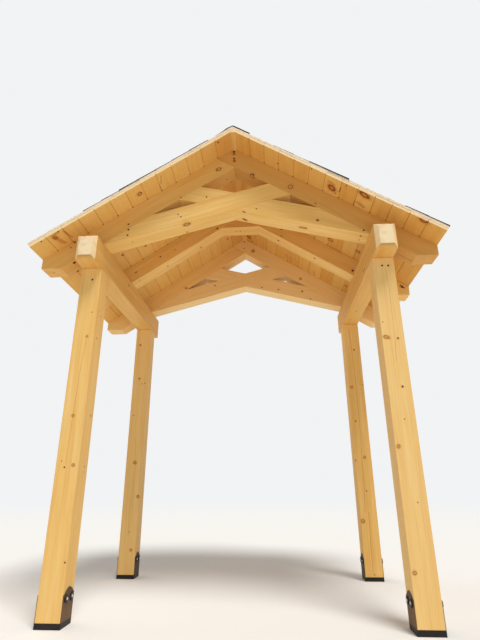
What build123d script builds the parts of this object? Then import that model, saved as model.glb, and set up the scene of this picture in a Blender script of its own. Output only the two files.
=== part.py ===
from build123d import *
from math import cos, radians, sin, tan
import os

# Timber-frame porch canopy: four posts, two eave beams, two scissor trusses,
# a middle rafter pair and a boarded gable roof. The front faces -Y and +Z is up.
# The origin is on the floor, at the centre of the post layout.

# Timber sections
timber = 140.0
beam_height = 184.0

# Post layout: clear width between left and right posts, front to back by centres
clear_span = 1860.0
post_spacing = 1325.0
headroom = 2145.0

# Post bases: a standoff box and two side plates with a pointed top
standoff = 30.0
base_steel = 3.5
base_depth = 134.0
plate_side_height = 130.0
plate_arch_rise = 32.0
plate_step = 9.0
plate_hole = 13.0
plate_hole_rise = 109.0
plate_hole_spacing = 67.0
anchor_hole = 18.0

# Eave beams
beam_overhang = 150.0
beam_end_chamfer = 25.0

# Rafters
roof_pitch = 33.25
heel_lift = 16.0
eave_overhang = 300.0
tail_drop = 177.0
tongue = 46.0

# Scissor chords, and the collar block of the middle pair
chord_slope = 15.0
collar_drop = 105.0

# Roof covering, from the rafters up
board_thickness = 19.0
sheathing_thickness = 15.0
roofing_thickness = 7.0
rake_overhang = 185.0
roofing_overhang = 8.0
ridge_board_width = 42.0
cap_width = 150.0
cap_thickness = 4.0

# Levels and faces that follow from the sizes above
half_span = clear_span / 2
outer_face = half_span + timber
eave_face = outer_face + eave_overhang
beam_top = headroom + beam_height
tail_level = beam_top - tail_drop
half_depth = (post_spacing + timber) / 2
rake_face = half_depth + rake_overhang
roofing_lift = board_thickness + sheathing_thickness
pitch_rise = tan(radians(roof_pitch))
pitch_cos = cos(radians(roof_pitch))
pitch_sin = sin(radians(roof_pitch))
chord_rise = tan(radians(chord_slope))
chord_cos = cos(radians(chord_slope))


class Slope:
    # A straight edge seen from the front: its height at x = 0 and its rise

    def __init__(self, height, rise):
        self.height = height
        self.rise = rise

    def at(self, x):
        return (x, self.height + self.rise * x)

    def meet(self, other):
        return self.at((other.height - self.height) / (self.rise - other.rise))

    def meet_level(self, z):
        return ((z - self.height) / self.rise, z)

    def mirrored(self):
        return Slope(self.height, -self.rise)

    def raised(self, thickness, slope_cos):
        return Slope(self.height + thickness / slope_cos, self.rise)


# Edges of the left-hand timbers, which all rise towards the right
rafter_under = Slope(beam_top + heel_lift + half_span * pitch_rise, pitch_rise)
rafter_top = rafter_under.raised(timber, pitch_cos)
chord_under = Slope(beam_top + half_span * chord_rise, chord_rise)
chord_top = chord_under.raised(timber, chord_cos)
ridge_seat = rafter_top.at(-ridge_board_width / 2)[1]


def mirror_outline(outline):
    return [(-x, z) for x, z in outline]


def prism(outline, y_from, y_to):
    edge = Polyline(*[(x, y_from, z) for x, z in outline], close=True)
    return extrude(make_face(edge), amount=y_to - y_from, dir=(0, 1, 0))


def block(x_range, y_range, z_range):
    ranges = (x_range, y_range, z_range)
    size = [high - low for low, high in ranges]
    centre = [(low + high) / 2 for low, high in ranges]
    return Pos(*centre) * Box(*size)


def mirrored(solid):
    return mirror(solid, about=Plane.YZ)


def post(x_centre, y_centre):
    half = timber / 2
    return block((x_centre - half, x_centre + half),
                 (y_centre - half, y_centre + half),
                 (standoff, headroom))


def base_plate():
    # Straight sides, a small step inwards, then a pointed arch
    half = base_depth / 2
    arch = half - plate_step
    step_z = standoff + plate_side_height
    peak = (0, step_z + plate_arch_rise)
    outline = RadiusArc((-arch, step_z), peak, 2 * arch)
    outline += RadiusArc(peak, (arch, step_z), 2 * arch)
    outline += Polyline((arch, step_z), (half, step_z), (half, 0),
                        (-half, 0), (-half, step_z), (-arch, step_z))
    plate = extrude(Plane.YZ * make_face(outline), amount=base_steel)
    for side in (-1, 1):
        place = Pos(0, side * plate_hole_spacing / 2, standoff + plate_hole_rise)
        plate -= place * Rot(0, 90, 0) * Cylinder(plate_hole / 2, 4 * base_steel)
    return plate


def post_base(x_centre, y_centre):
    # The box lifts the post off the floor, and the plates clasp its two sides
    half = timber / 2
    end = base_depth / 2
    solid = block((-half, half), (-end, end), (0, standoff))
    solid -= block((-half, half),
                   (base_steel - end, end - base_steel),
                   (base_steel, standoff - base_steel))
    solid -= Cylinder(anchor_hole / 2, 3 * base_steel)
    solid += Pos(half, 0, 0) * base_plate()
    solid += Pos(-half - base_steel, 0, 0) * base_plate()
    return Pos(x_centre, y_centre, 0) * solid


def left_beam():
    # Every edge of the two end faces is chamfered
    y_end = half_depth + beam_overhang
    solid = block((-outer_face, -half_span), (-y_end, y_end), (headroom, beam_top))
    ends = solid.faces().sort_by(Axis.Y)
    return chamfer(ends[0].edges() + ends[-1].edges(), beam_end_chamfer)


def rafter_outline():
    # Left rafter: peak shoulder, tail with plumb and level cuts, notch for the beam
    return [
        rafter_under.at(0),
        rafter_top.meet(rafter_under.mirrored()),
        rafter_top.at(-eave_face),
        (-eave_face, tail_level),
        rafter_under.meet_level(tail_level),
        rafter_under.at(-outer_face),
        (-outer_face, beam_top),
        rafter_under.meet_level(beam_top),
    ]


def peak_outline():
    # The area that both rafters share, cut flat on top to seat the ridge board
    shoulder_x, shoulder_z = rafter_top.meet(rafter_under.mirrored())
    seat_x = ridge_board_width / 2
    return [
        rafter_under.at(0),
        (shoulder_x, shoulder_z),
        (-seat_x, ridge_seat),
        (seat_x, ridge_seat),
        (-shoulder_x, shoulder_z),
    ]


def rafter_pair(y_front):
    # Bridle joint at the peak: a tongue on the left rafter, a fork on the right one
    y_back = y_front + timber
    cheek = (timber - tongue) / 2
    left = prism(rafter_outline(), y_front, y_back)
    left += prism(peak_outline(), y_front + cheek, y_back - cheek)
    right = prism(mirror_outline(rafter_outline()), y_front, y_back)
    right += prism(peak_outline(), y_front, y_front + cheek)
    right += prism(peak_outline(), y_back - cheek, y_back)
    return left, right


def chord_outline():
    # Left chord: from its heel on the left beam up to the right rafter
    right_rafter_under = rafter_under.mirrored()
    return [
        chord_under.at(-half_span),
        rafter_under.meet_level(beam_top),
        chord_top.meet(rafter_under),
        chord_top.meet(right_rafter_under),
        chord_under.meet(right_rafter_under),
    ]


def chord_pair(y_front):
    # Half-lapped where they cross, with the left chord in front
    y_middle = y_front + timber / 2
    y_back = y_front + timber
    outline = chord_outline()
    left = prism(outline, y_front, y_back)
    left -= prism(mirror_outline(outline), y_middle, y_back)
    right = prism(mirror_outline(outline), y_front, y_back)
    right -= prism(outline, y_front, y_middle)
    return left, right


def collar(y_front):
    # Block that fills the underside of a peak down to a level face
    end = rafter_under.meet_level(rafter_under.height - collar_drop)
    outline = [rafter_under.at(0), end, *mirror_outline([end])]
    return prism(outline, y_front, y_front + timber)


def roof_layer(lift, thickness, inner, overhang):
    # Left half of a layer that lies on the rafters, square-cut at the eave
    under = rafter_top.raised(lift, pitch_cos)
    over = under.raised(thickness, pitch_cos)
    edge = eave_face + overhang * pitch_cos + lift * pitch_sin
    outline = [
        under.at(-inner),
        under.at(-edge),
        over.at(-edge - thickness * pitch_sin),
        over.at(-inner),
    ]
    y_end = rake_face + overhang
    return prism(outline, -y_end, y_end)


def ridge_board():
    # Bevelled batten between the two halves of the boarding
    side = ridge_board_width / 2
    boards_top = rafter_top.raised(board_thickness, pitch_cos)
    left = [(-side, ridge_seat), boards_top.at(-side)]
    outline = [*left, boards_top.at(0), *mirror_outline(left[::-1])]
    return prism(outline, -rake_face, rake_face)


def ridge_cap():
    # Folded cap over the top edges of the roofing
    under = rafter_top.raised(roofing_lift + roofing_thickness, pitch_cos)
    over = under.raised(cap_thickness, pitch_cos)
    edge = cap_width * pitch_cos
    left = [under.at(-edge), over.at(-edge - cap_thickness * pitch_sin)]
    outline = [under.at(0), *left, over.at(0), *mirror_outline(left[::-1])]
    y_end = rake_face + roofing_overhang
    return prism(outline, -y_end, y_end)


parts = {}

for end, y_side in (("front", -1), ("back", 1)):
    for side, x_side in (("left", -1), ("right", 1)):
        x_post = x_side * (half_span + timber / 2)
        y_post = y_side * post_spacing / 2
        parts[f"{end}_{side}_post"] = post(x_post, y_post)
        parts[f"{end}_{side}_post_base"] = post_base(x_post, y_post)

parts["left_beam"] = left_beam()
parts["right_beam"] = mirrored(left_beam())

for end, y_truss in (("front", -half_depth), ("rear", half_depth - timber)):
    left_rafter, right_rafter = rafter_pair(y_truss)
    left_chord, right_chord = chord_pair(y_truss)
    parts[f"{end}_left_rafter"] = left_rafter
    parts[f"{end}_right_rafter"] = right_rafter
    parts[f"{end}_left_chord"] = left_chord
    parts[f"{end}_right_chord"] = right_chord

middle_left, middle_right = rafter_pair(-timber / 2)
parts["middle_left_rafter"] = middle_left
parts["middle_right_rafter"] = middle_right
parts["middle_collar"] = collar(-timber / 2)

boards = roof_layer(0, board_thickness, ridge_board_width / 2, 0)
sheathing = roof_layer(board_thickness, sheathing_thickness, 0, 0)
roofing = roof_layer(roofing_lift, roofing_thickness, 0, roofing_overhang)
for layer, solid in (("boards", boards), ("sheathing", sheathing), ("roofing", roofing)):
    parts[f"left_{layer}"] = solid
    parts[f"right_{layer}"] = mirrored(solid)
parts["ridge_board"] = ridge_board()
parts["ridge_cap"] = ridge_cap()

os.makedirs("parts", exist_ok=True)
for name, solid in parts.items():
    export_step(solid, f"parts/{name}.step")
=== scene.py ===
import bpy
import bmesh
import math
import random
from mathutils import Matrix, Vector


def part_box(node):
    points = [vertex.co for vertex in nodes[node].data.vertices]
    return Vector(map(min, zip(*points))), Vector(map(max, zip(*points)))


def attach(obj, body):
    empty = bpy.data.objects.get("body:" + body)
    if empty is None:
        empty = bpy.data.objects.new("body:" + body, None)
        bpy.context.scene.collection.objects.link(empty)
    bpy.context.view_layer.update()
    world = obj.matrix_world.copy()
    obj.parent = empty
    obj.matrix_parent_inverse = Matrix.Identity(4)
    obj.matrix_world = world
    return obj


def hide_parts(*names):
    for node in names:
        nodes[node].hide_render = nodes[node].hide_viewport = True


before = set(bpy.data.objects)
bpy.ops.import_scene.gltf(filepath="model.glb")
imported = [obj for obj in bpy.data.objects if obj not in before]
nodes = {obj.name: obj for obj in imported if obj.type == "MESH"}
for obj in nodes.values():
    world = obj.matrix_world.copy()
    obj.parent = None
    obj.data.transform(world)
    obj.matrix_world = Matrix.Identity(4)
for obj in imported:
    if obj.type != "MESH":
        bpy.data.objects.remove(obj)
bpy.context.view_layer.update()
print("stage: frame loaded,", len(nodes), "nodes")

# Lines of the roof, seen from the front, in metres
roof = {
    "pitch": math.radians(33.25),
    "rafterPeak": 3.122142,       # top edge of the rafters, carried to the centre
    "rafterValley": 2.954737,     # underside of the rafters, carried to the centre
    "chordPitch": math.radians(15),
    "chordPeak": 2.578193,        # underside of the chords, carried to the centre
    "timber": 0.14,
    "trussAt": 0.6625,            # from the centre to the middle of the front and rear trusses
    "rake": 0.9175,               # how far the boards reach to the front and back
}


def linear(red, green, blue):
    # a colour as it is seen on a screen, 0 to 255, to the light values that Blender mixes
    def channel(value):
        value /= 255
        return value / 12.92 if value <= 0.04045 else ((value + 0.055) / 1.055) ** 2.4
    return (channel(red), channel(green), channel(blue), 1.0)


class Wire:
    # a value in a material that takes part in plain sums

    def __init__(self, shader, socket):
        self.shader = shader
        self.socket = socket

    def math(self, operation, *others):
        return self.shader.add("Math", {"operation": operation}, dict(enumerate((self, *others))))

    def other(self, name):
        # another output of the same node
        return Wire(self.shader, self.socket.node.outputs[name])

    def __abs__(self):
        return self.math("ABSOLUTE")

    def __add__(self, other):
        return self.math("ADD", other)

    def __sub__(self, other):
        return self.math("SUBTRACT", other)

    def __mul__(self, other):
        return self.math("MULTIPLY", other)

    def __truediv__(self, other):
        return self.math("DIVIDE", other)

    def __pow__(self, other):
        return self.math("POWER", other)

    def __rsub__(self, other):
        return self.shader.add("Math", {"operation": "SUBTRACT"}, {0: other, 1: self})

    def __lt__(self, other):
        return self.math("LESS_THAN", other)

    def __gt__(self, other):
        return self.math("GREATER_THAN", other)

    __radd__ = __add__
    __rmul__ = __mul__


class Shader:
    # the nodes of one material, or of the world

    def __init__(self, name, library=bpy.data.materials):
        self.owner = library.new(name)
        self.owner.use_nodes = True
        self.tree = self.owner.node_tree
        self.tree.nodes.clear()

    def add(self, kind, settings=None, inputs=None, out=0):
        node = self.tree.nodes.new("ShaderNode" + kind)
        for key, value in (settings or {}).items():
            setattr(node, key, value)
        for key, value in (inputs or {}).items():
            if isinstance(value, Wire):
                self.tree.links.new(value.socket, node.inputs[key])
            else:
                node.inputs[key].default_value = value
        return Wire(self, node.outputs[out]) if len(node.outputs) else None

    def vector(self, operation, first, second):
        return self.add("VectorMath", {"operation": operation}, {0: first, 1: second})

    def measure(self, operation, first, second=(0, 0, 0)):
        # the vector sums that give a number: a length, a distance or a dot product
        return self.add("VectorMath", {"operation": operation}, {0: first, 1: second}, "Value")

    def scaled(self, vector, amount):
        return self.add("VectorMath", {"operation": "SCALE"}, {0: vector, "Scale": amount})

    def parts(self, vector):
        node = self.add("SeparateXYZ", {}, {0: vector})
        return [Wire(self, socket) for socket in node.socket.node.outputs]

    def place(self):
        return self.add("TexCoord", out="Object")

    def turned(self, origin, along, across):
        # object coordinates, and the same with X along the grain and Y across it
        place = self.place()
        return place, self.add("Mapping", {"vector_type": "TEXTURE"}, {
            "Vector": place, "Location": origin, "Rotation": turnTo(along, across)})

    def noise(self, place, scale, detail=2.0, roughness=0.5):
        # a scale of three numbers draws the noise out
        if isinstance(scale, tuple):
            place, scale = self.vector("MULTIPLY", place, scale), 1.0
        return self.add("TexNoise", {}, {"Vector": place, "Scale": scale, "Detail": detail,
                                         "Roughness": roughness})

    def smooth(self, value, start, end):
        return self.add("MapRange", {"interpolation_type": "SMOOTHSTEP"},
                        {"Value": value, "From Min": start, "From Max": end})

    def mix(self, factor, first, second):
        return self.add("Mix", {"data_type": "RGBA"}, {0: factor, 6: first, 7: second}, 2)

    def veil(self, colour, tone, value, start, end, strength=1.0):
        # lays a tone over a colour where a value runs from start to end
        return self.mix(self.smooth(value, start, end) * strength, colour, tone)

    def finish(self, colour, roughness, height, depth, fixed=None):
        # the surface itself: a height of 1 stands out by the depth, in metres
        bump = self.add("Bump", {}, {"Strength": 1.0, "Distance": depth, "Height": height})
        surface = self.add("BsdfPrincipled", {}, {
            "Base Color": colour, "Roughness": roughness, "Normal": bump, **(fixed or {})})
        self.add("OutputMaterial", {}, {"Surface": surface})
        return self.owner


def turnTo(along, across):
    # the turn that brings X along the grain and Y across it
    x = Vector(along).normalized()
    y = Vector(across).normalized()
    return Matrix((x, y, x.cross(y))).transposed().to_euler()


def hypotenuse(a, b):
    return (a * a + b * b).math("SQRT")


def extreme(operation, wires):
    # the lowest or the highest of several values
    found = wires[0]
    for wire in wires[1:]:
        found = found.math(operation, wire)
    return found


woodTones = {
    "timber": {"early": linear(240, 193, 108), "late": linear(214, 156, 74),
               "warm": linear(226, 165, 82), "pale": linear(248, 212, 146), "deep": linear(196, 134, 58),
               "contrast": 0.78},
    "boards": {"early": linear(234, 180, 92), "late": linear(204, 140, 56),
               "warm": linear(216, 150, 64), "pale": linear(243, 198, 116), "deep": linear(190, 120, 40),
               "contrast": 0.55},
    "knotCore": linear(216, 158, 88), "knotRing": linear(188, 124, 60),
    "knotRim": linear(94, 42, 12), "deadKnot": linear(62, 28, 12),
    "softRim": linear(136, 74, 30), "brownKnot": linear(112, 56, 20),
    "redCore": linear(206, 134, 68), "redWood": linear(174, 102, 34),
    "amber": linear(204, 132, 54), "check": linear(98, 44, 8), "resin": linear(178, 112, 52),
    "endGrain": linear(252, 232, 190), "endSmudge": linear(214, 184, 150),
    "endPaintedShade": linear(172, 132, 66),
}


knotKinds = {
    # the strength of the amber wood around it; its tones in the middle, round that and at the rim;
    # the rim's strength; where the middle tone fades and where the knot ends, in radii; its rings
    "ring": (0.45, "knotRing", "knotCore", "knotRim", 0.95, (0.45, 0.1), 1.08, 0),
    "soft": (0.4, "knotRing", "knotCore", "softRim", 0.8, (0.45, 0.1), 1.08, 0),
    "dark": (0.35, "deadKnot", "knotRim", "knotRim", 0.95, (1.0, 0.2), 1.08, 0),
    "brown": (0.3, "brownKnot", "softRim", "softRim", 0.5, (1.0, 0.5), 1.08, 0),
    "pale": (0.4, "softRim", "redWood", "redWood", 0.0, (1.0, 0.2), 1.08, 0),
    "red": (0.7, "redCore", "redWood", "knotRim", 0.4, (0.6, 0.36), 1.2, 0.22),
}


def knotMarks(shader, colour, reach, kind, solid=None):
    # reach is the distance from the knot's middle in radii: amber wood, then a core and its rim
    halo, middle, core, rim, strength, fade, edge, rings = knotKinds[kind]
    middle, core, rim = woodTones[middle], woodTones[core], woodTones[rim]
    colour = shader.veil(colour, woodTones["amber"], reach, 2.2, 1.0, halo)
    if rings:
        core = shader.mix((reach * 11).math("SINE") * rings + rings, core, rim)
    core = shader.veil(core, middle, reach, *fade)
    if solid is not None:
        core = shader.mix(solid, core, rim)
    inside = shader.smooth(reach, edge, 0.94)
    colour = shader.mix(inside, colour, core)
    border = shader.smooth(reach, 0.7, 0.84) * shader.smooth(reach, 1.2, 1.04)
    return shader.mix(border * strength, colour, rim), inside


def nearest(shader, place, knots):
    # distance to the nearest of the knots, in radii; a slanted one is drawn out along a line
    reaches = []
    for x, y, z, radius, *slant in knots:
        offset = shader.vector("SUBTRACT", place, (x, y, z))
        if slant:
            line = Vector(slant[0]).normalized()
            along = shader.measure("DOT_PRODUCT", offset, line) * (1 - 1 / slant[1])
            offset = shader.vector("SUBTRACT", offset, shader.scaled(line, along))
        reaches.append(shader.measure("LENGTH", offset) / radius)
    ragged = shader.noise(place, 95.0, detail=1.0) * 0.5 + 0.75
    return extreme("MINIMUM", reaches) * ragged


def listedKnots(shader, place, listed, drawnAs, face=None):
    # the knots that are placed one by one, each list with the kind that it is drawn as: x, y, z and
    # radius, or x, z and radius on the face that looks to the front, then the slant if there is one
    found = []
    for key, kind in drawnAs.items():
        if key in listed:
            knots = [(row[0], face, *row[1:]) if len(row) % 2 else row for row in listed[key]]
            found.append((nearest(shader, place, knots), kind, None))
    return found


def scatteredKnots(shader, cell, toPlace, share, sizes, allowed):
    # at most one knot to a cell: toPlace turns a place in cells to the distance in metres
    low, high = sizes
    spot = shader.add("TexVoronoi", {"voronoi_dimensions": "2D"}, {"Vector": cell, "Scale": 1.0},
                      "Position")
    chances = shader.parts(spot.other("Color"))
    cx, cy, _ = shader.parts(spot)
    size = low + chances[0] ** 2.2 * (high - low)
    size = size * (chances[1] < share) * allowed + 0.00001
    return hypotenuse(*toPlace(cx, cy)) / size, chances[2] > 0.35


def lineMarks(shader, colour, place, lines, tone, strength, soft=0.25):
    # fine dark lines between pairs of points, each with its own half width
    marks = []
    for start, end, width in lines:
        start, run = Vector(start), Vector(end) - Vector(start)
        offset = shader.vector("SUBTRACT", place, start)
        share = shader.measure("DOT_PRODUCT", offset, run) / run.length_squared
        share = share.math("MINIMUM", 1).math("MAXIMUM", 0)
        distance = shader.measure("DISTANCE", offset, shader.scaled(run, share))
        marks.append(shader.smooth(distance, width * (1 + soft), width * (1 - soft)))
    return shader.mix(extreme("MAXIMUM", marks) * strength, colour, tone) if marks else colour


woodGrain = {
    "ringGap": 0.0046,        # growth ring spacing
    "wander": 0.022,          # how far a ring wanders along the grain
    "flutter": 0.0022,        # the same, over a short way
    "push": 0.005,            # how far a knot pushes the rings out
    "depth": 0.0012,          # how far the grain stands out
    "gloss": {"Specular IOR Level": 0.25},
}


def growWood(shader, tones, seeded, radial, knots, seed, tone=0.0, tint=None):
    # growth rings, pushed round the knots, then slow shifts of tone, fibres and resin flecks; gives
    # the colour, the late wood, the height and what the grain adds to the roughness
    nearKnot = extreme("MINIMUM", [reach for reach, kind, solid in knots])
    slow = shader.noise(seeded, (1.1, 7, 7)) - 0.5
    quick = shader.noise(seeded, (9, 30, 30)) - 0.5
    rings = (radial + slow * woodGrain["wander"] + quick * woodGrain["flutter"]
             + shader.smooth(nearKnot, 3.8, 0.8) * woodGrain["push"])
    bands = shader.noise(shader.add("CombineXYZ", {}, {0: rings, 1: seed}), 55.0, detail=1.0)
    saw = (rings / woodGrain["ringGap"]).math("FRACT")
    late = saw ** 3.0 * shader.smooth(bands, 0.28, 0.72)
    broad = shader.noise(seeded, (1.6, 26, 26), detail=3.0, roughness=0.6)
    strong = tones["contrast"]
    colour = shader.mix(late * 0.62 * strong, tones["early"], tones["late"])
    colour = shader.veil(colour, tones["warm"], broad, 0.46, 0.74, 0.75 * strong)
    colour = shader.veil(colour, tones["pale"], broad, 0.5, 0.24, 0.8 * strong)
    if tone:
        colour = shader.mix(abs(tone), colour, tones["deep"] if tone > 0 else tones["pale"])
    if tint is not None:
        colour = shader.veil(colour, tones["warm"], tint, 0.55, 1.0, 0.5)
        colour = shader.veil(colour, tones["pale"], tint, 0.45, 0.0, 0.45)
    stripes = shader.noise(seeded, (2.2, 120, 120))
    colour = shader.veil(colour, tones["late"], stripes, 0.5, 0.72, 0.32 * strong)
    fibres = shader.noise(seeded, (14, 900, 900))
    colour = shader.veil(colour, tones["late"], fibres, 0.55, 0.8, 0.22)
    flecks = shader.noise(seeded, (60, 1500, 1500), detail=0.0)
    colour = shader.veil(colour, woodTones["amber"], flecks, 0.76, 0.84, 0.4)
    insides = []
    for reach, kind, solid in knots:
        colour, inside = knotMarks(shader, colour, reach, kind, solid)
        insides.append(inside)
    inKnot = extreme("MAXIMUM", insides)
    height = late * 0.10 + fibres * 0.10 + inKnot * 0.2
    return colour, late, height, fibres * 0.08 - late * 0.05 - inKnot * 0.12


timberGrain = {
    "knotPitch": 4.2,                 # cells of scattered knots per metre
    "knotSizes": (0.0028, 0.0095),
    "bareFrom": 0.063,                # how far from the middle a bare face begins
    "checkFrom": 0.045,               # how far from the pith the drying checks begin
    "checkWidth": 0.0014, "checkSway": 0.012,
}


def timberMaterial(name, origin, along, across, pith=(0.0, 0.0), seed=0.0, tone=0.0, knotShare=0.3,
                   checks=0.3, bare=(), ends=None, lines=(), faint=0.8, seams=(), gapShades=(),
                   soft=False, face=None, **listed):
    # a boxed-heart timber: rings about the pith, knots that run out from it, checks on the faces;
    # bare names the faces that take only the knots that are listed, and soft knots and lines are
    # paler
    shader = Shader(name)
    place, local = shader.turned(origin, along, across)
    x, y, z = shader.parts(local)
    allowed = 1.0
    for sign, axis in bare:
        outward = {"y": y, "z": z}[axis] * (1 if sign == "+" else -1)
        allowed = (outward < timberGrain["bareFrom"]) * allowed
    endward = abs(x)
    if ends:
        allowed = (endward < ends["at"] - ends["chamfer"] - 0.02) * allowed
    level = z
    y = y - pith[0]
    z = z - pith[1]
    radial = hypotenuse(y, z)

    # knots as cones about the pith, one cell each in length and angle; the seam is at a corner
    angle = (z - y).math("ARCTAN2", y + z)
    turns = 4 / (2 * math.pi)
    pitch, shift = timberGrain["knotPitch"], seed * 1.7
    cell = shader.add("CombineXYZ", {}, {0: x * pitch + seed, 1: angle * turns + shift})
    spread = radial / (roof["timber"] / 2)
    reach, solid = scatteredKnots(
        shader, cell,
        lambda cx, cy: (x - (cx - seed) / pitch, (angle - (cy - shift) / turns) * radial),
        knotShare, timberGrain["knotSizes"], allowed)
    drawnAs = {"ringKnots": "soft" if soft else "ring", "darkKnots": "brown" if soft else "dark",
               "brownKnots": "brown", "paleKnots": "pale"}
    knots = [(reach / spread, drawnAs["ringKnots"], solid)]
    knots += listedKnots(shader, place, listed, drawnAs, face)
    seeded = shader.vector("ADD", local, (seed * 3.1, seed * 1.3, seed * 2.3))
    colour, late, height, dull = growWood(shader, woodTones["timber"], seeded, radial, knots, seed,
                                          tone)
    if ends:
        end, chamfer = ends["at"], ends["chamfer"]
        cloud = shader.noise(local, 16.0, detail=3.0)
        cut = shader.veil(woodTones["endGrain"], woodTones["endSmudge"], cloud, 0.46, 0.72, 0.5)
        cut = shader.mix(late * 0.25, cut, woodTones["endSmudge"])
        colour = shader.veil(colour, cut, endward, end - 0.0009, end - 0.0002, 0.85)
        if chamfer:
            edge, half = end - chamfer, ends["half"]
            # the side and top chamfers take the pale end-grain tone, partly as end grain and partly as
            # painted sunlight; the bottom chamfer under the end is left out and takes a painted shade
            # instead
            shadedChamfer = shader.smooth(endward - level, edge + half - 0.0009, edge + half - 0.0003)
            sawnAndSunlit = shader.smooth(endward, edge - 0.0004, edge + 0.0006)
            sawnAndSunlit = sawnAndSunlit * shader.smooth(endward, end - 0.0002, end - 0.0009)
            colour = shader.mix(sawnAndSunlit * (1 - shadedChamfer) * 0.62, colour, cut)
            # painted shade: the bottom chamfer under the end is darkened as if it lay in shade
            paintedShade = shader.smooth(level, 0.0065 - half, chamfer - half) * shadedChamfer
            colour = shader.mix(paintedShade * 0.6, colour, woodTones["endPaintedShade"])

    # drying checks in the planes through the pith, open where the slow noise is high
    split = shader.noise(seeded, (0.9, 9, 9), detail=1.0)
    sway = (shader.noise(seeded, (5, 2, 2), detail=1.0) - 0.5) * timberGrain["checkSway"]
    plane = abs(((angle + math.pi / 4) * 2).math("SINE") * radial * 0.5 + sway)
    width = shader.smooth(split, 0.62 - 0.2 * checks, 0.8 - 0.1 * checks)
    width = width * timberGrain["checkWidth"] * min(checks * 2, 1)
    gap = (plane < width) * (radial > timberGrain["checkFrom"]) * allowed
    colour = shader.mix(gap * 0.85, colour, woodTones["check"])
    if lines:
        waver = shader.noise(place, (0, 0, 9)).other("Color")
        swayed = shader.vector("ADD", place, shader.vector("MULTIPLY", waver, (0.006, 0, 0)))
        broken = shader.smooth(shader.noise(place, (0, 0, 14)),
                               *((0.16, 0.42) if soft else (0.34, 0.46)))
        colour = lineMarks(shader, colour, swayed, lines, woodTones["resin" if soft else "check"],
                           broken * faint, soft=0.6 if soft else 0.25)
    colour = lineMarks(shader, colour, place, seams, woodTones["check"], 0.3)
    # dark lines in gaps between parts; those along the middle rafters' top edges are painted shade
    colour = lineMarks(shader, colour, place, gapShades, woodTones["check"], 0.8)
    return shader.finish(colour, dull + 0.56, height - gap * 1.6, woodGrain["depth"],
                         woodGrain["gloss"])


eased = {"post": 0.0035, "beam": 0.0025, "slanted": 0.002, "collar": 0.0015, "ridge": 0.001,
         "steel": 0.0009}     # how far the sharp edges are taken off


def coat(piece, material):
    piece.data.materials.clear()
    piece.data.materials.append(material)


def dress(node, material, bevel):
    # a CAD node keeps its mesh: loose triangles are welded, flats joined and edges eased
    coat(nodes[node], material)
    for kind, name, settings in (
            ("WELD", "weld", {"merge_threshold": 0.00001}),
            ("DECIMATE", "flats", {"decimate_type": "DISSOLVE", "angle_limit": math.radians(0.5)}),
            ("BEVEL", "easedEdges", {"width": bevel, "segments": 2, "profile": 0.5,
                                     "limit_method": "ANGLE", "angle_limit": math.radians(20)})):
        modifier = nodes[node].modifiers.new(name, kind)
        for key, value in settings.items():
            setattr(modifier, key, value)


def middleOf(node):
    low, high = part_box(node)
    return (low + high) / 2


# Timbers: each has its own line of pith, its own knots and its own drying checks
frontFace, middleFace, rearFace = -0.7325, -0.07, 0.5925      # the faces that look to the front


def linesOn(face, *points, width=0.0014):
    # a run of fine lines over points (x, z) on a face that looks to the front
    return [((a[0], face, a[1]), (b[0], face, b[1]), width) for a, b in zip(points, points[1:])]


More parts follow.
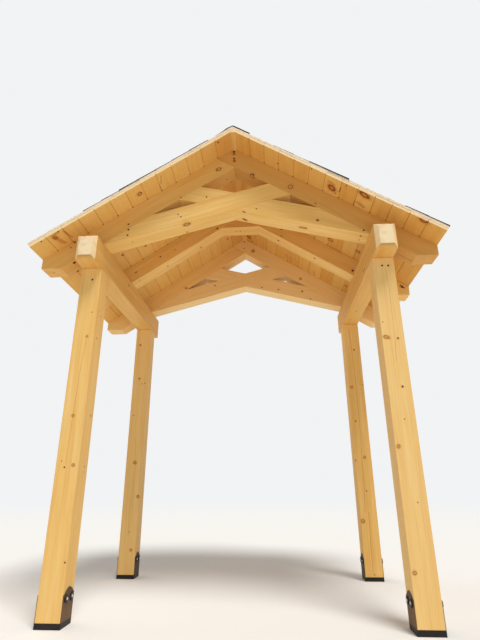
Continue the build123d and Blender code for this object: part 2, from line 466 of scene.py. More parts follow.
postKnots = {
    "front_left_post": {
        "pith": (0.012, 0.006), "seed": 1.3, "checks": 0.6, "tone": -0.2, "bare": ("-y", "-z"),
        "ringKnots": [(-0.976, 1.641, 0.007), (-1.002, 1.124, 0.008), (-0.962, 0.833, 0.0085),
                      (-0.93, -0.655, 1.811, 0.0045), (-0.93, -0.686, 1.837, 0.0035),
                      (-0.93, -0.679, 1.643, 0.006), (-0.93, -0.634, 1.137, 0.0065),
                      (-0.93, -0.641, 0.826, 0.0045), (-0.93, -0.641, 0.796, 0.004)],
        "darkKnots": [(-1.014, 0.821, 0.005), (-1.037, 0.857, 0.003), (-0.941, 0.319, 0.0045),
                      (-0.962, 1.812, 0.0035)],
        "lines": linesOn(frontFace, (-0.973, 1.64), (-0.991, 1.39), (-1.0, 1.12), (-1.008, 0.84)),
        "faint": 0.55},
    "front_right_post": {
        "pith": (0.008, -0.012), "seed": 4.9, "checks": 0.5, "tone": -0.45, "bare": ("-y", "+z"),
        "ringKnots": [(0.959, 1.584, 0.0105, (1, 0, -0.35), 1.7), (0.949, 0.923, 0.01),
                      (0.951, 0.284, 0.0092), (0.947, 1.685, 0.0035), (0.93, -0.72, 2.109, 0.004)],
        "darkKnots": [(1.028, 1.575, 0.006), (1.017, 1.27, 0.006), (1.004, 1.078, 0.0035),
                      (1.016, 0.625, 0.003)],
        "lines": linesOn(frontFace, (1.012, 2.06), (1.018, 1.9), (1.014, 1.7), (1.012, 1.54),
                         (1.003, 1.43)), "faint": 0.55},
    "back_left_post": {
        "pith": (-0.006, -0.004), "seed": 8.2, "checks": 0.5, "tone": -0.35, "bare": ("-y", "-z"),
        "ringKnots": [(-0.991, 0.902, 0.0125), (-0.94, 0.623, 0.0115), (-0.968, 0.212, 0.0095),
                      (-0.995, 0.347, 0.004), (-0.93, 0.655, 0.214, 0.004),
                      (-0.93, 0.669, 0.221, 0.003)],
        "darkKnots": [(-1.025, 1.988, 0.008), (-1.008, 1.658, 0.007), (-0.981, 1.607, 0.004),
                      (-0.955, 1.611, 0.004), (-1.034, 1.315, 0.004),
                      (-0.93, 0.675, 2.005, 0.005)],
        "lines": linesOn(rearFace, (-0.996, 1.1), (-0.979, 0.85), (-1.001, 0.5), (-0.997, 0.32)),
        "faint": 0.45},
    "back_right_post": {
        "pith": (0.004, 0.004), "seed": 12.6, "checks": 0.5, "tone": -0.05, "bare": ("-y", "+z"),
        "ringKnots": [(0.958, 1.54, 0.0105), (1.013, 0.933, 0.01), (0.949, 0.434, 0.0135),
                      (0.936, 0.909, 0.006), (1.057, 1.563, 0.0045)],
        "darkKnots": [(1.013, 1.891, 0.0065), (0.966, 1.237, 0.006), (1.002, 0.664, 0.005),
                      (1.001, 0.048, 0.004)],
        "lines": linesOn(rearFace, (0.989, 2.1), (1.001, 1.64), (1.001, 1.18), (0.987, 0.68),
                         (0.977, 0.5), width=0.0016)
        + linesOn(rearFace, (1.006, 0.5), (0.998, 0.3), (0.993, 0.05), width=0.0016), "faint": 0.75},
}
for node, settings in postKnots.items():
    middle = middleOf(node)
    dress(node, timberMaterial(node + "Wood", (middle.x, middle.y, 0), (0, 0, 1), (0, 1, 0),
                               knotShare=0.35, soft=True, face=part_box(node)[0].y, **settings),
          eased["post"])
print("stage: posts")

beamKnots = {
    "left_beam": {"pith": (-0.031, -0.05), "seed": 21.5, "tone": 0.3, "bare": ("-y", "-z"),
                  "darkKnots": [(-0.93, -0.157, 2.271, 0.006), (-0.93, -0.151, 2.284, 0.006)]},
    "right_beam": {"pith": (-0.03, -0.03), "seed": 25.1, "tone": 0.3, "bare": ("+y", "-z"),
                   "darkKnots": [(0.93, -0.465, 2.187, 0.006), (0.978, 0.466, 2.145, 0.005),
                                 (0.998, 0.254, 2.145, 0.005)],
                   "ringKnots": [(0.93, -0.675, 2.193, 0.004)],
                   "gapShades": [((0.93, -0.49, 2.189), (0.93, -0.441, 2.184), 0.003)]},
}
beamEnds = {"at": 0.8825, "chamfer": 0.025, "half": 0.092}
for node, settings in beamKnots.items():
    middle = middleOf(node)
    dress(node, timberMaterial(node + "Wood", (middle.x, 0, middle.z), (0, 1, 0), (-1, 0, 0),
                               ends=beamEnds, knotShare=0.35, checks=0.4, **settings),
          eased["beam"])
print("stage: beams")


def topEdge(x):
    # a place on the front top edge of the middle rafters, where they meet the boards
    return (x, middleFace, roof["rafterPeak"] - abs(x) * math.tan(roof["pitch"]))


rafterKnots = {
    # the front rafters' deeper tones, deepest on the right one, are painted shade: they stand in for the
    # shade under the boards at the front
    "front_left_rafter": {
        "seed": 31.0, "pith": (0.02, 0.015), "tone": 0.3,
        "ringKnots": [(-0.118, 2.939, 0.0128, (1, 0, 0.45), 1.5), (-1.305, -0.67, 2.152, 0.006),
                      (-0.064, -0.644, 2.913, 0.005)],
        "darkKnots": [(-0.392, 2.697, 0.0065), (-1.144, -0.712, 2.2045, 0.0105),
                      (-1.151, 2.358, 0.0065)],
        "brownKnots": [(-1.175, 2.315, 0.0045), (-1.163, -0.604, 2.192, 0.008)],
        "lines": linesOn(frontFace, (-0.134, 2.935), (-0.258, 2.889), (-0.42, 2.79), width=0.0007),
        "faint": 0.45},
    "front_right_rafter": {
        "seed": 33.7, "pith": (0.015, -0.02), "tone": 0.6,
        "ringKnots": [(0.41, 2.751, 0.0165), (0.131, -0.72, 2.868, 0.018)],
        "paleKnots": [(-0.002, 3.074, 0.0105), (0.0, 3.008, 0.011)],
        "darkKnots": [(-0.003, 3.094, 0.0085), (-0.002, 3.03, 0.0075), (0.58, 2.598, 0.0045),
                      (0.068, -0.57, 2.91, 0.005)],
        "lines": linesOn(frontFace, (0.425, 2.738), (0.611, 2.6), (0.705, 2.53), (0.818, 2.43),
                         width=0.0009),
        "faint": 0.55,
        "gapShades": [((1.127, -0.6475, 2.2158), (1.222, -0.6475, 2.1535), 0.002)]},
    "middle_left_rafter": {
        "seed": 36.2, "pith": (0.02, 0.03), "tone": -0.1,
        "ringKnots": [(-0.576, 2.648, 0.004), (-0.364, 0.029, 2.716, 0.009),
                      (-0.65, 0.003, 2.528, 0.006), (-0.881, -0.033, 2.377, 0.005)],
        "darkKnots": [(-0.703, 2.584, 0.006), (-0.909, 2.438, 0.0055), (-0.207, 2.844, 0.007)],
        # along the top edge: a dark line of painted shade, the shade in the gap under the boards
        "gapShades": [(topEdge(-0.27), topEdge(-0.95), 0.0022),
                 ((-0.909, middleFace, 2.438), (-0.895, middleFace, 2.452), 0.002)]},
    "middle_right_rafter": {
        "seed": 39.9, "pith": (0.02, -0.03), "tone": -0.05,
        "ringKnots": [(0.354, 2.742, 0.005), (0.928, 0.021, 2.346, 0.005)],
        "darkKnots": [(0.357, 2.808, 0.005), (0.331, -0.003, 2.7377, 0.008),
                      (0.634, -0.02, 2.539, 0.008), (0.933, 2.384, 0.008), (1.316, 2.222, 0.009),
                      (1.331, 2.213, 0.005), (1.304, 2.235, 0.0055)],
        # along the top edge: a dark line of painted shade, the shade in the gap under the boards
        "gapShades": [(topEdge(0.76), topEdge(0.992), 0.0022)]},
    # the rear rafters' paler tones are painted light: they stand in for the light that falls on the rear
    # truss
    "rear_left_rafter": {
        "seed": 43.4, "pith": (0.01, 0.03), "tone": -0.4,
        "ringKnots": [(-0.60, 2.582, 0.009)]},
    "rear_right_rafter": {
        "seed": 46.8, "pith": (0.01, -0.025), "tone": -0.8,
        "ringKnots": [(0.084, 2.977, 0.014), (0.555, 2.642, 0.009)],
        "darkKnots": [(-0.005, 3.012, 0.005), (-0.004, 3.091, 0.006)]},
}


def peakSeams(face):
    # the shoulder of the left rafter, where the fork of the right one lies over it
    shoulder = (roof["rafterValley"] - roof["rafterPeak"]) / (2 * math.tan(roof["pitch"]))
    return [((0, face, roof["rafterValley"]),
             (shoulder, face, roof["rafterPeak"] + shoulder * math.tan(roof["pitch"])), 0.0016)]


def dressSlanted(knotsOf, pitch, heart, **shared):
    # timbers that rise to the centre, with the height of their middle line there
    for node, settings in knotsOf.items():
        side, face = 1 if "left" in node else -1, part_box(node)[0].y
        seams = peakSeams(face) if "rafter" in node else ()
        dress(node, timberMaterial(
            node + "Wood", (0, middleOf(node).y, heart),
            (math.cos(pitch), 0, side * math.sin(pitch)), (0, 1, 0),
            bare=("-y", "-z"), seams=seams, face=face, **shared, **settings), eased["slanted"])


dressSlanted(rafterKnots, roof["pitch"], (roof["rafterPeak"] + roof["rafterValley"]) / 2)
print("stage: rafters")

chordKnots = {
    "front_left_chord": {
        "seed": 51.1, "pith": (0.01, -0.02), "tone": -0.05,
        "ringKnots": [(-0.348, -0.708, 2.485, 0.017, (1, 0, 0.27), 1.35)],
        "darkKnots": [(-0.41, 2.555, 0.0045), (-0.388, 2.535, 0.0045),
                      (-0.747, -0.674, 2.378, 0.0035), (-0.361, -0.61, 2.481, 0.005)]},
    "front_right_chord": {
        "seed": 54.6, "pith": (0.0, -0.03), "tone": -0.05,
        "ringKnots": [(0.489, -0.66, 2.447, 0.011, (1, 0, -0.27), 2.3)],
        "brownKnots": [(0.586, 2.458, 0.0075, (1, 0, -0.27), 1.3),
                       (0.069, -0.722, 2.56, 0.007, (1, 0, -0.27), 1.7),
                       (0.07, -0.624, 2.56, 0.01, (1, 0.6, -0.27), 1.9)],
        "paleKnots": [(0.159, 2.575, 0.0055)],
        "darkKnots": [(0.340, -0.577, 2.487, 0.005), (0.88, -0.637, 2.3424, 0.004),
                      (-0.205, 2.695, 0.0055)]},
    # the rear chords' very pale tones are painted light: they stand in for the light that falls on the
    # rear truss
    "rear_left_chord": {
        "seed": 57.3, "pith": (0.01, -0.03), "tone": -0.9,
        "darkKnots": [(-0.305, 2.598, 0.006), (-0.876, 2.385, 0.007)]},
    "rear_right_chord": {
        "seed": 59.8, "pith": (-0.02, -0.02), "tone": -1.0,
        "ringKnots": [(0.043, 0.614, 2.5667, 0.005)],
        "darkKnots": [(0.565, 2.504, 0.0075), (0.331, 2.533, 0.006), (0.168, 2.56, 0.0055),
                      (0.804, 2.447, 0.0065), (0.641, 2.42, 0.005)]},
}
dressSlanted(chordKnots, roof["chordPitch"],
             roof["chordPeak"] + roof["timber"] / 2 / math.cos(roof["chordPitch"]), checks=0.25)

collarLook = {"origin": (0, 0, 2.9), "pith": (0.03, 0.06), "seed": 63.3, "tone": 0.1,
              "knotShare": 0.0, "checks": 0.0,
              "darkKnots": [(-0.042, -0.004, 2.8497, 0.004), (-0.007, 0.001, 2.8497, 0.004)]}
dress("middle_collar", timberMaterial("middleCollarWood", along=(1, 0, 0), across=(0, 1, 0),
                                      **collarLook), eased["collar"])
ridgeLook = {"origin": (0.008, 0, 3.05), "pith": (0.0, -0.02), "seed": 66.1, "tone": 0.25,
             "knotShare": 0.0, "checks": 0.0, "ends": {"at": roof["rake"], "chamfer": 0}}
dress("ridge_board", timberMaterial("ridgeBoardWood", along=(0, 1, 0), across=(-1, 0, 0),
                                    **ridgeLook), eased["ridge"])
print("stage: chords, collar and ridge board")


halves = {"left": -1, "right": 1}


def slopeDown(side):
    return Vector((side * math.cos(roof["pitch"]), 0, -math.sin(roof["pitch"])))


def slopeMatrix(side):
    # local X runs down the slope from the peak line, Y along the roof, Z up through the layers
    down = slopeDown(side)
    along = Vector((0, side, 0))
    turned = Matrix((down, along, down.cross(along))).transposed().to_4x4()
    return Matrix.Translation((0, 0, roof["rafterPeak"])) @ turned


def addObject(name, data):
    added = bpy.data.objects.new(name, data)
    bpy.context.scene.collection.objects.link(added)
    return added


def addMesh(name, shape, material):
    data = bpy.data.meshes.new(name)
    shape.to_mesh(data)
    shape.free()
    data.materials.append(material)
    return addObject(name, data)


def addPiece(name, shape, material, replaced=()):
    bmesh.ops.recalc_face_normals(shape, faces=shape.faces)
    piece = addMesh(name, shape, material)
    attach(piece, "root")
    if replaced:
        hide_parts(*replaced)
    return piece


def addBlock(shape, low, high):
    # a rectangular block between two corners; gives its new points
    low, high = Vector(low), Vector(high)
    size = high - low
    place = Matrix.Translation((low + high) / 2) @ Matrix.Diagonal((*size, 1))
    return bmesh.ops.create_cube(shape, size=1, matrix=place)["verts"]


boarding = {
    "count": 13, "from": 0.0251, "to": 1.63819, "thickness": 0.019,      # down the slope
    "topFrom": 0.0128, "groove": 0.0038, "gap": 0.0005, "uneven": 0.0026,
    "ripped": {-1: 0.0, 1: 0.006},      # how much narrower the top board of each side is
    "endGrain": 0.0029,                 # how deep the sawn ends are pale
    "shadedGroove": 0.0045,                     # how far past a rafter's face the grooves are darkened with painted shade
    "shadedGrooveRise": (0.0004, 0.006), "shadedGrooveInset": 0.004,
    "touch": 0.001,                     # how near a point lies to an edge to count as on it
    # scattered knots: cells per metre along and across, and from board to board
    "knotPitch": 2.7, "knotAcross": 9, "knotRow": 7.3, "knotShare": 0.42, "knotDrawn": 0.8,
    "knotSizes": (0.0035, 0.0125), "knotsBehind": 0.6,
}
boarding["width"] = (boarding["to"] - boarding["from"]) / boarding["count"]


def boardMaterial(name, side, seed, streaks=(), stains=(), tone=0.0, **listed):
    # flat-sawn boards, each from its own log, with their own tone
    shader = Shader(name)
    place, local = shader.turned((0, 0, roof["rafterPeak"]), (0, -side, 0), slopeDown(side))
    x, y, z = shader.parts(local)
    first, width = boarding["from"] - boarding["ripped"][side], boarding["width"]
    number = ((y - first) / width).math("FLOOR").math("MINIMUM", boarding["count"] - 1)
    chance = shader.add("TexWhiteNoise", {"noise_dimensions": "1D"}, {"W": number + seed}, "Color")
    tint = shader.add("TexWhiteNoise", {"noise_dimensions": "1D"}, {"W": number + seed * 2.7})
    a, b, c = shader.parts(chance)
    across = y - first - (number + 0.5) * width
    inLog = x + a * 9
    seeded = shader.add("CombineXYZ", {}, {0: inLog, 1: across + number * 0.731, 2: z + seed})
    warp = shader.noise(seeded, (1.3, 5, 5)) - 0.5
    radial = hypotenuse(across + (b - 0.5) * 0.10 + warp * 0.02, z + 0.022 + c * 0.08)

    pitch, fine = boarding["knotPitch"], boarding["knotAcross"]
    row = number * boarding["knotRow"]
    reach, solid = scatteredKnots(
        shader, shader.add("CombineXYZ", {}, {0: inLog * pitch, 1: row + across * fine}),
        lambda cx, cy: ((inLog - cx / pitch) * boarding["knotDrawn"], across - (cy - row) / fine),
        boarding["knotShare"], boarding["knotSizes"], x * -side > boarding["knotsBehind"])
    drawnAs = {"ringKnots": "ring", "darkKnots": "brown", "redKnots": "red"}
    knots = [(reach, "ring", solid), *listedKnots(shader, place, listed, drawnAs)]
    colour, _, height, dull = growWood(shader, woodTones["boards"], seeded, radial, knots, seed,
                                       tone, tint)
    endward = abs(x)
    cutEnd = endward > roof["rake"] - boarding["endGrain"]
    colour = shader.mix(cutEnd * 0.7, colour, woodTones["endGrain"])
    # painted shade: the grooves are darkened where they run over a rafter, as the shade inside them
    fromRafter = endward.math("MINIMUM", abs(endward - roof["trussAt"]))
    low, high = boarding["shadedGrooveRise"]
    shadedGroove = (fromRafter < roof["timber"] / 2 + boarding["shadedGroove"]) * (z > low) * (z < high)
    shadedGroove = shadedGroove * (y > boarding["from"] + boarding["shadedGrooveInset"])
    shadedGroove = shadedGroove * (y < boarding["to"] - boarding["shadedGrooveInset"])
    colour = shader.mix(shadedGroove * 0.9, colour, woodTones["check"])      # painted shade inside the grooves where they run over a rafter
    colour = lineMarks(shader, colour, place, stains, woodTones["redWood"], 0.6, soft=1.0)
    colour = lineMarks(shader, colour, place, streaks, woodTones["check"], 0.7)
    return shader.finish(colour, dull + 0.54, height, woodGrain["depth"], woodGrain["gloss"])


boardKnots = {
    "left": {
        "seed": 11.0, "tone": -0.4,
        "ringKnots": [(-0.675, -0.827, 2.679, 0.0155), (-0.792, -0.228, 2.603, 0.009)],
        "redKnots": [(-1.226, -0.867, 2.318, 0.0125, (0.3, 1, 0.2), 1.2)],
        "darkKnots": [(-0.107, -0.885, 3.052, 0.0075), (-1.301, -0.904, 2.269, 0.0055),
                      (-1.193, -0.906, 2.34, 0.0065), (-0.960, -0.283, 2.493, 0.009),
                      (-0.161, 0.398, 3.017, 0.009), (-0.058, -0.392, 3.084, 0.005),
                      (-1.229, -0.868, 2.316, 0.0095)],
        "streaks": [((-0.541, -0.735, 2.767), (-0.541, -0.80, 2.767), 0.0035),
                    ((-0.512, -0.88, 2.786), (-0.530, -0.81, 2.775), 0.0025),
                    ((-0.966, -0.296, 2.489), (-0.953, -0.268, 2.497), 0.0035)],
        "stains": [((-1.22, -0.85, 2.322), (-1.2, -0.77, 2.335), 0.009),
                   ((-1.228, -0.86, 2.317), (-1.216, -0.785, 2.325), 0.006),
                   ((-1.235, -0.89, 2.312), (-1.21, -0.9, 2.329), 0.01),
                   ((-1.165, -0.88, 2.358), (-1.15, -0.79, 2.368), 0.007)]},
    "right": {
        "seed": 48.0, "tone": 0.1,
        "ringKnots": [(0.757, -0.17, 2.626, 0.019), (0.965, -0.2, 2.489, 0.016),
                      (0.081, 0.567, 3.069, 0.012)],
        "redKnots": [(0.692, -0.806, 2.668, 0.024, (0.044, 0.049, -0.029), 1.3),
                     (0.889, -0.887, 2.539, 0.021, (0.06, 0.023, -0.039), 1.75),
                     (1.240, -0.912, 2.309, 0.024, (0.06, 0.01, -0.039), 1.2),
                     (0.969, 0.46, 2.487, 0.012), (0.047, 0.503, 3.091, 0.022)],
        "darkKnots": [(0.72, -0.768, 2.65, 0.005), (0.549, -0.902, 2.762, 0.005),
                      (0.321, -0.795, 2.912, 0.006), (0.094, -0.385, 3.06, 0.005)],
        "streaks": [((0.745, -0.852, 2.634), (0.742, -0.8, 2.636), 0.0042),
                    ((0.846, -0.79, 2.567), (0.844, -0.728, 2.569), 0.0034),
                    ((0.776, -0.908, 2.614), (0.776, -0.885, 2.613), 0.0025)],
        "stains": [((0.455, 0.47, 2.824), (0.472, 0.55, 2.813), 0.006),
                   ((0.41, 0.46, 2.853), (0.421, 0.52, 2.846), 0.005),
                   ((0.68, 0.5, 2.676), (0.692, 0.575, 2.668), 0.006),
                   ((0.865, -0.783, 2.555), (0.904, -0.765, 2.529), 0.012),
                   ((0.666, -0.86, 2.685), (0.7, -0.85, 2.663), 0.01)]},
}


def layBoards(side):
    shape = bmesh.new()
    draw, touch = random.Random(20 + side), boarding["touch"]
    first, width = boarding["from"] - boarding["ripped"][side], boarding["width"]
    for number in range(boarding["count"]):
        low = first + number * width + boarding["gap"] if number else boarding["from"]
        high = first + (number + 1) * width - boarding["gap"]
        if number == boarding["count"] - 1:
            high = boarding["to"] - boarding["gap"]
        back, front = (roof["rake"] - draw.uniform(0, boarding["uneven"]) for _ in range(2))
        board = addBlock(shape, (low, -back, 0), (high, front, boarding["thickness"]))
        grooves = [edge for edge in {e for v in board for e in v.link_edges}
                   if all(v.co.z < touch for v in edge.verts)
                   and abs(edge.verts[0].co.x - edge.verts[1].co.x) < touch
                   and (number or edge.verts[0].co.x > low + touch)
                   and (number < boarding["count"] - 1 or edge.verts[0].co.x < high - touch)]
        bmesh.ops.bevel(shape, geom=grooves, offset=boarding["groove"], segments=1, profile=0.5,
                        affect="EDGES", material=-1, clamp_overlap=True)
        if not number:
            for point in shape.verts:
                if point.co.z > boarding["thickness"] / 2 and point.co.x < low + touch:
                    point.co.x = boarding["topFrom"]        # plumb edge against the ridge board
    bmesh.ops.transform(shape, matrix=slopeMatrix(side), verts=shape.verts)
    return shape


for name, side in halves.items():
    wood = boardMaterial(name + "BoardWood", side, **boardKnots[name])
    addPiece(name + "_boarding", layBoards(side), wood, (name + "_boards",))
print("stage: boards")


strandTones = {"base": linear(246, 222, 184), "pale": linear(253, 238, 206),
               "dark": linear(198, 158, 116), "pink": linear(244, 208, 178)}


def strandMaterial(name, side):
    # pressed strands: flat flakes in layers, which show as short dashes along an edge
    shader = Shader(name)
    _, local = shader.turned((0, 0, roof["rafterPeak"]), (0, -side, 0), slopeDown(side))
    stretched = shader.vector("MULTIPLY", local, (30, 62, 520))
    flakes = shader.add("TexVoronoi", {"feature": "F1"}, {"Vector": stretched, "Scale": 1.0}, "Color")
    a, b, c = shader.parts(flakes)
    colour = shader.veil(strandTones["base"], strandTones["pale"], a, 0.3, 1.0)
    colour = shader.veil(colour, strandTones["dark"], b, 0.62, 1.0, 0.8)
    colour = shader.veil(colour, strandTones["pink"], c, 0.5, 1.0, 0.6)
    grain = shader.noise(local, (60, 700, 900))
    colour = shader.veil(colour, strandTones["dark"], grain, 0.55, 0.8, 0.4)
    return shader.finish(colour, grain * 0.1 + 0.75, a * 0.6 + grain * 0.4, 0.0008)


for name, side in halves.items():
    coat(nodes[name + "_sheathing"], strandMaterial(name + "Strands", side))
print("stage: sheathing")


roofing = {
    "exposure": 0.143, "headlap": 0.020, "tab": 0.305, "slot": 0.007, "courses": 11,
    "from": 0.012, "to": 1.6392, "lift": 0.034, "sheet": 0.0028, "seed": {-1: 5, 1: 6},
    "edge": (0.0032, 0.0066), "head": (0.0006, 0.0029),      # undersides and tops of the tabs
    "ragged": 0.0016, "curl": 0.0006, "wavy": 0.0030, "inset": 0.0012, "sliver": 0.02,
    # how far each course stands out at the front, in mm, from the eave up
    "reach": {-1: (-8, -8, -7, 0, 1, 5, 3, 1, 1, 2, -8), 1: (3, 2, -7, -8, -8, 7, 4, -3, -2, -8, -8)},
    "capAcross": (-0.1254, -0.07, -0.045, 0, 0.012, 0.05, 0.1254),      # points over the fold
    "capCut": (0.010, 0.006, 0.0, 0.002, 0.001, 0.0, 0.0),     # the front cap piece is cut uneven
    "capHigh": 0.0434, "capLow": 0.0406, "capSheet": 0.0024, "capRake": 0.919, "capFold": 0.0022,
}
granuleTones = {"base": linear(58, 58, 62), "dark": linear(30, 30, 33), "pale": linear(112, 110, 110),
                "brown": linear(84, 72, 62)}


def granuleMaterial():
    # asphalt with mineral granules, and a slow change of shade from tab to tab
    shader = Shader("shingleGranules")
    place = shader.place()
    grains = shader.add("TexVoronoi", {}, {"Vector": place, "Scale": 620.0}, "Color")
    a, b, c = shader.parts(grains)
    colour = shader.veil(granuleTones["dark"], granuleTones["base"], a, 0.2, 0.9)
    colour = shader.veil(colour, granuleTones["pale"], b, 0.72, 1.0, 0.8)
    colour = shader.veil(colour, granuleTones["brown"], c, 0.8, 1.0, 0.7)
    blotch = shader.noise(place, 9.0, detail=3.0)
    colour = shader.veil(colour, granuleTones["dark"], blotch, 0.5, 0.75, 0.45)
    dome = 1 - grains.other("Distance")
    return shader.finish(colour, 0.86 - a * 0.12, dome * 0.8, 0.0007)


def layShingles(side):
    draw = random.Random(roofing["seed"][side])
    shape = bmesh.new()
    lift, inset, rake = roofing["lift"], roofing["inset"], roof["rake"]
    for course in range(roofing["courses"]):
        edge = roofing["to"] - course * roofing["exposure"]
        top = edge - roofing["exposure"] - roofing["headlap"]
        front = rake + roofing["reach"][side][course] / 1000
        back = rake + draw.uniform(-0.7, 1) * roofing["wavy"]
        low, high = (-front, back) if side > 0 else (-back, front)
        sheetTop = roofing["from"] if course == roofing["courses"] - 1 else edge - roofing["exposure"]
        addBlock(shape, (sheetTop, low + inset, lift), (edge, high - inset, lift + roofing["sheet"]))
        start = -rake - (course % 2 + 0.5) * roofing["tab"] / 2
        while start < high:
            left = start + roofing["slot"] / 2
            left = low if left < low + roofing["slot"] else left
            right = min(start + roofing["tab"] - roofing["slot"] / 2, high)
            start += roofing["tab"]
            drop = draw.uniform(0, roofing["ragged"])
            curl = draw.uniform(0, roofing["curl"])
            if right - left < roofing["sliver"]:
                continue
            tab = addBlock(shape, (top, left, lift), (edge - drop, right, lift + roofing["sheet"]))
            for point in tab:
                upper = point.co.z > lift + roofing["sheet"] / 2
                if point.co.x > (top + edge) / 2:
                    point.co.z = lift + roofing["edge"][upper] - curl
                else:
                    point.co.z = lift + roofing["head"][upper]
    bmesh.ops.transform(shape, matrix=slopeMatrix(side), verts=shape.verts)
    return shape


def layRidgeCap():
    # folded pieces that lap each other from the back to the front
    shape = bmesh.new()
    rake, length = roofing["capRake"], roofing["exposure"] + roofing["headlap"]
    steep, slant = math.tan(roof["pitch"]), math.cos(roof["pitch"])
    for number in range(math.ceil(2 * rake / roofing["exposure"])):
        front = -rake + number * roofing["exposure"]
        back = min(front + length, rake)
        line = []
        for x, cut in zip(roofing["capAcross"], roofing["capCut"]):
            height = roof["rafterPeak"] - abs(x) * steep + roofing["capHigh"] / slant
            height -= 0 if x else roofing["capFold"]
            line.append(shape.verts.new((x, front if number else front + cut, height)))
        edges = [shape.edges.new(pair) for pair in zip(line, line[1:])]
        grown = bmesh.ops.extrude_edge_only(shape, edges=edges)["geom"]
        far = [item for item in grown if isinstance(item, bmesh.types.BMVert)]
        sink = (roofing["capHigh"] - roofing["capLow"]) * (back - front) / length
        bmesh.ops.translate(shape, vec=(0, back - front, -sink / slant), verts=far)
        faces = [item for item in grown if isinstance(item, bmesh.types.BMFace)]
        bmesh.ops.recalc_face_normals(shape, faces=faces)
        if sum(face.normal.z for face in faces) < 0:
            bmesh.ops.reverse_faces(shape, faces=faces)
        bmesh.ops.solidify(shape, geom=faces, thickness=roofing["capSheet"])
    return shape


granules = granuleMaterial()
for name, side in halves.items():
    addPiece(name + "_shingles", layShingles(side), granules, (name + "_roofing",))
addPiece("ridge_shingles", layRidgeCap(), granules, ("ridge_cap",))
print("stage: roofing")


steelTones = {"coat": linear(27, 24, 21), "worn": linear(58, 45, 33), "dustAndSheen": linear(142, 108, 70),
              "zinc": linear(234, 233, 230), "zincDull": linear(192, 192, 190),
              "screw": linear(56, 34, 18), "screwWorn": linear(82, 54, 32)}


def coatedSteel(name, dustAndSheenShare):
    # dark powder coat with a fine texture, and a warm brown over the lower plates above the standoff:
    # partly fine sawdust, partly a painted sheen standing in for the reflection of lit ground
    shader = Shader(name)
    place = shader.place()
    z = shader.parts(place)[2]
    peel = shader.noise(place, 420.0)
    cloud = shader.noise(place, 26.0, detail=4.0, roughness=0.6)
    colour = shader.veil(steelTones["coat"], steelTones["worn"], cloud, 0.42, 0.8, 0.5)
    # painted sheen with dust: a warm brown over the lower plates, while the standoff below stays dark
    dustAndSheen = shader.smooth(z + (cloud - 0.5) * 0.09, 0.3, 0.06) * shader.smooth(z, 0.026, 0.036)
    dustAndSheen = dustAndSheen * (shader.smooth(peel, 0.35, 0.6) * 0.5 + 0.5) * dustAndSheenShare
    colour = shader.mix(dustAndSheen, colour, steelTones["dustAndSheen"])
    specks = shader.noise(place, 260.0, detail=1.0)
    colour = shader.veil(colour, steelTones["worn"], specks, 0.68, 0.78, 0.35)
    return shader.finish(colour, cloud * 0.18 + dustAndSheen * 0.2 + 0.46, peel, 0.0004,
                         {"Specular IOR Level": 0.3})


def cloudedSteel(name, dull, bright, scale, roughness, spread, fixed=None):
    shader = Shader(name)
    cloud = shader.noise(shader.place(), scale, detail=3.0)
    colour = shader.mix(cloud, steelTones[dull], steelTones[bright])
    return shader.finish(colour, cloud * spread + roughness, cloud, 0.0002, fixed)


dustAndSheenAmount = {"front": 0.75, "back": 0.2}      # how much sawdust and painted sheen lie on the plates; the front bases take more, as if lit
for node in nodes:
    if node.endswith("_post_base"):
        dress(node, coatedSteel(node + "Steel", dustAndSheenAmount[node.split("_")[0]]), eased["steel"])

fasteners = {
    "boltRise": 0.139, "boltSpacing": 0.067, "plate": 0.0735,      # from the post's centre
    "washerRadius": 0.0222, "washerThickness": 0.0068,
    "headFlats": 0.0112, "headHeight": 0.0018, "flangeRadius": 0.0078, "flangeHeight": 0.001,
    "screwRadius": 0.0068, "screwHeight": 0.0016, "recess": 0.0011, "recessFrom": 0.0026,
    "lobes": 0.74,            # how far the recess draws in between its lobes
    "washerEased": 0.002, "flangeEased": 0.0005, "headEased": 0.0008, "screwEased": 0.0006,
}


def turnedDisc(shape, radius, height, segments, place, bevel, start=0.0):
    # a disc that stands on the surface, its far rim eased
    matrix = place @ Matrix.Translation((0, 0, start + height / 2))
    points = bmesh.ops.create_cone(shape, cap_ends=True, segments=segments, radius1=radius,
                                   radius2=radius, depth=height, matrix=matrix)["verts"]
    inverse = place.inverted()
    rim = [edge for edge in {e for v in points for e in v.link_edges}
           if all((inverse @ v.co).z > start + height - 0.00001 for v in edge.verts)]
    bmesh.ops.bevel(shape, geom=rim, offset=bevel, segments=2, profile=0.5, affect="EDGES",
                    material=-1, clamp_overlap=True)


def facing(normal, place):
    turned = Vector(normal).to_track_quat("Z", "Y").to_matrix().to_4x4()
    return Matrix.Translation(place) @ turned


washerSteel = coatedSteel("washerSteel", 0.0)
boltZinc = cloudedSteel("zincBolt", "zincDull", "zinc", 190.0, 0.3, 0.16, {"Metallic": 1.0})
turn = random.Random(9)
for corner in ("front_left", "front_right", "back_left", "back_right"):
    middle = middleOf(corner + "_post")
    washers, bolts = bmesh.new(), bmesh.new()
    for side in (-1, 1):
        for shift in (-0.5, 0.5):
            place = facing((side, 0, 0), (middle.x + side * fasteners["plate"],
                                          middle.y + shift * fasteners["boltSpacing"],
                                          fasteners["boltRise"]))
            spun = place @ Matrix.Rotation(turn.uniform(0, 1), 4, "Z")
            start, flange = fasteners["washerThickness"], fasteners["flangeHeight"]
            turnedDisc(washers, fasteners["washerRadius"], start, 6, spun, fasteners["washerEased"])
            turnedDisc(bolts, fasteners["flangeRadius"], flange, 32, spun, fasteners["flangeEased"],
                       start)
            turnedDisc(bolts, fasteners["headFlats"] / math.sqrt(3), fasteners["headHeight"], 6,
                       spun, fasteners["headEased"], start + flange)
    addPiece(corner + "_base_washers", washers, washerSteel)
    addPiece(corner + "_base_bolts", bolts, boltZinc)
print("stage: post bases and bolts")


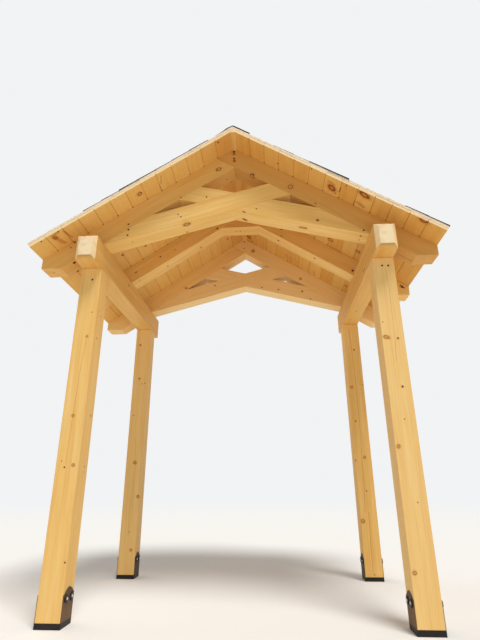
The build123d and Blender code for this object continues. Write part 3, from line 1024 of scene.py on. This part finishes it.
def screwHead(shape, place):
    # a washer-head screw with a six-lobed recess
    turnedDisc(shape, fasteners["screwRadius"], fasteners["screwHeight"], 24, place,
               fasteners["screwEased"])
    inverse = place.inverted()
    shape.faces.ensure_lookup_table()
    near = [face for face in shape.faces
            if (face.calc_center_median() - place.translation).length < fasteners["screwRadius"] / 2]
    cap = max(near, key=lambda face: (inverse @ face.calc_center_median()).z)
    bmesh.ops.inset_individual(shape, faces=[cap], thickness=fasteners["recessFrom"])
    for number, point in enumerate(cap.verts):
        spot = inverse @ point.co
        scale = 1.0 if number % 4 < 2 else fasteners["lobes"]
        point.co = place @ Vector((spot.x * scale, spot.y * scale, spot.z))
    sunk = bmesh.ops.extrude_discrete_faces(shape, faces=[cap])["faces"][0]
    bmesh.ops.translate(shape, verts=sunk.verts,
                        vec=-fasteners["recess"] * (place.to_3x3() @ Vector((0, 0, 1))))


def screwsOn(face, *spots):
    # screws at (x, z) in a face that looks to the front, or to the back where it lies behind
    return [((0, math.copysign(1, face), 0), (x, face, z)) for x, z in spots]


chordDown = (-math.sin(roof["chordPitch"]), 0, -math.cos(roof["chordPitch"]))
screws = {
    "front_truss_screws": [
        *screwsOn(frontFace, (-0.770, 2.491), (-0.767, 2.445), (-0.769, 2.399), (0.896, 2.362)),
        (chordDown, (0.881, -0.691, 2.34213))],
    "rear_truss_screws": screwsOn(-frontFace, (-0.770, 2.491), (-0.767, 2.440),
                                  (0.770, 2.491), (0.767, 2.440)),
    "post_screws": [
        *screwsOn(frontFace, (-0.987, 2.055), (0.989, 2.085), (1.028, 2.084)),
        *screwsOn(-frontFace, (-1.02, 2.085), (-0.98, 2.085), (0.98, 2.085), (1.02, 2.085))],
}
screwSteel = cloudedSteel("bronzedScrew", "screw", "screwWorn", 240.0, 0.6, 0.2)
for name, places in screws.items():
    heads = bmesh.new()
    for normal, place in places:
        screwHead(heads, facing(normal, place) @ Matrix.Rotation(turn.uniform(0, 1), 4, "Z"))
    addPiece(name, heads, screwSteel)
print("stage: screws")

# Stage: a pale floor that fades into the world, so that no horizon shows
stageLook = {"radius": 40.0, "fade": (5.0, 16.0), "light": 0.37,
             "background": linear(242, 243, 244), "floor": linear(240, 238, 233)}

disc = bmesh.new()
bmesh.ops.create_circle(disc, cap_ends=True, segments=96, radius=stageLook["radius"])
paint = Shader("studioFloorPaint")
far = paint.smooth(paint.measure("LENGTH", paint.place()), *stageLook["fade"])
near = paint.add("BsdfDiffuse", {}, {"Color": stageLook["floor"]})
glow = paint.add("Emission", {}, {"Color": stageLook["background"], "Strength": 1.0})
paint.add("OutputMaterial", {}, {
    "Surface": paint.add("MixShader", {}, {0: far, 1: near, 2: glow})})
floor = addMesh("studioFloor", disc, paint.owner)

# The world: one strength for what it lights, and 1 where it is seen, mirrored or looked through
world = Shader("studioWorld", bpy.data.worlds)
bpy.context.scene.world = world.owner
rays = world.add("LightPath", out="Is Camera Ray")
seen = world.add("Math", {"operation": "ADD", "use_clamp": True}, {
    0: rays + rays.other("Is Glossy Ray"), 1: rays.other("Is Transmission Ray")})
lightSide = world.add("Background", {}, {"Color": (1, 1, 1, 1), "Strength": stageLook["light"]})
seenSide = world.add("Background", {}, {"Color": stageLook["background"], "Strength": 1.0})
world.add("OutputWorld", {}, {
    "Surface": world.add("MixShader", {}, {0: seen, 1: lightSide, 2: seenSide})})

# Soft lamps: a key from the front right, high up, and a weak one from the other side
lamps = {
    "keyLamp": {"strength": 2.25, "from": (0.55, -1.0, 2.1), "angle": 22},
    "fillLamp": {"strength": 0.33, "from": (-1.0, 0.5, 1.2), "angle": 50},
}
for name, settings in lamps.items():
    lamp = bpy.data.lights.new(name, "SUN")
    lamp.energy = settings["strength"]
    lamp.angle = math.radians(settings["angle"])
    turned = Vector(settings["from"]).to_track_quat("Z", "Y")
    addObject(name, lamp).rotation_euler = turned.to_euler()

# Camera: low in front of the canopy and looking up, as in the photograph
view = {"place": (0.2222, -3.4055, 0.7289), "yaw": -0.06886, "pitch": 0.35626, "roll": -0.00377,
        "focal": 438.24, "tall": 640}
ahead = Vector((math.sin(view["yaw"]) * math.cos(view["pitch"]),
                math.cos(view["yaw"]) * math.cos(view["pitch"]), math.sin(view["pitch"])))
right = Vector((math.cos(view["yaw"]), -math.sin(view["yaw"]), 0))
up = right.cross(ahead)
rolledRight = math.cos(view["roll"]) * right + math.sin(view["roll"]) * up
rolledUp = math.cos(view["roll"]) * up - math.sin(view["roll"]) * right
cameraData = bpy.data.cameras.new("photoCamera")
cameraData.sensor_fit = "VERTICAL"
cameraData.sensor_height = 36
cameraData.lens = view["focal"] / view["tall"] * cameraData.sensor_height
camera = addObject("photoCamera", cameraData)
camera.matrix_world = Matrix.Translation(view["place"]) @ Matrix(
    (rolledRight, rolledUp, -ahead)).transposed().to_4x4()
bpy.context.scene.camera = camera
bpy.context.scene.view_settings.view_transform = "Standard"
print("stage: camera, lamps and floor")
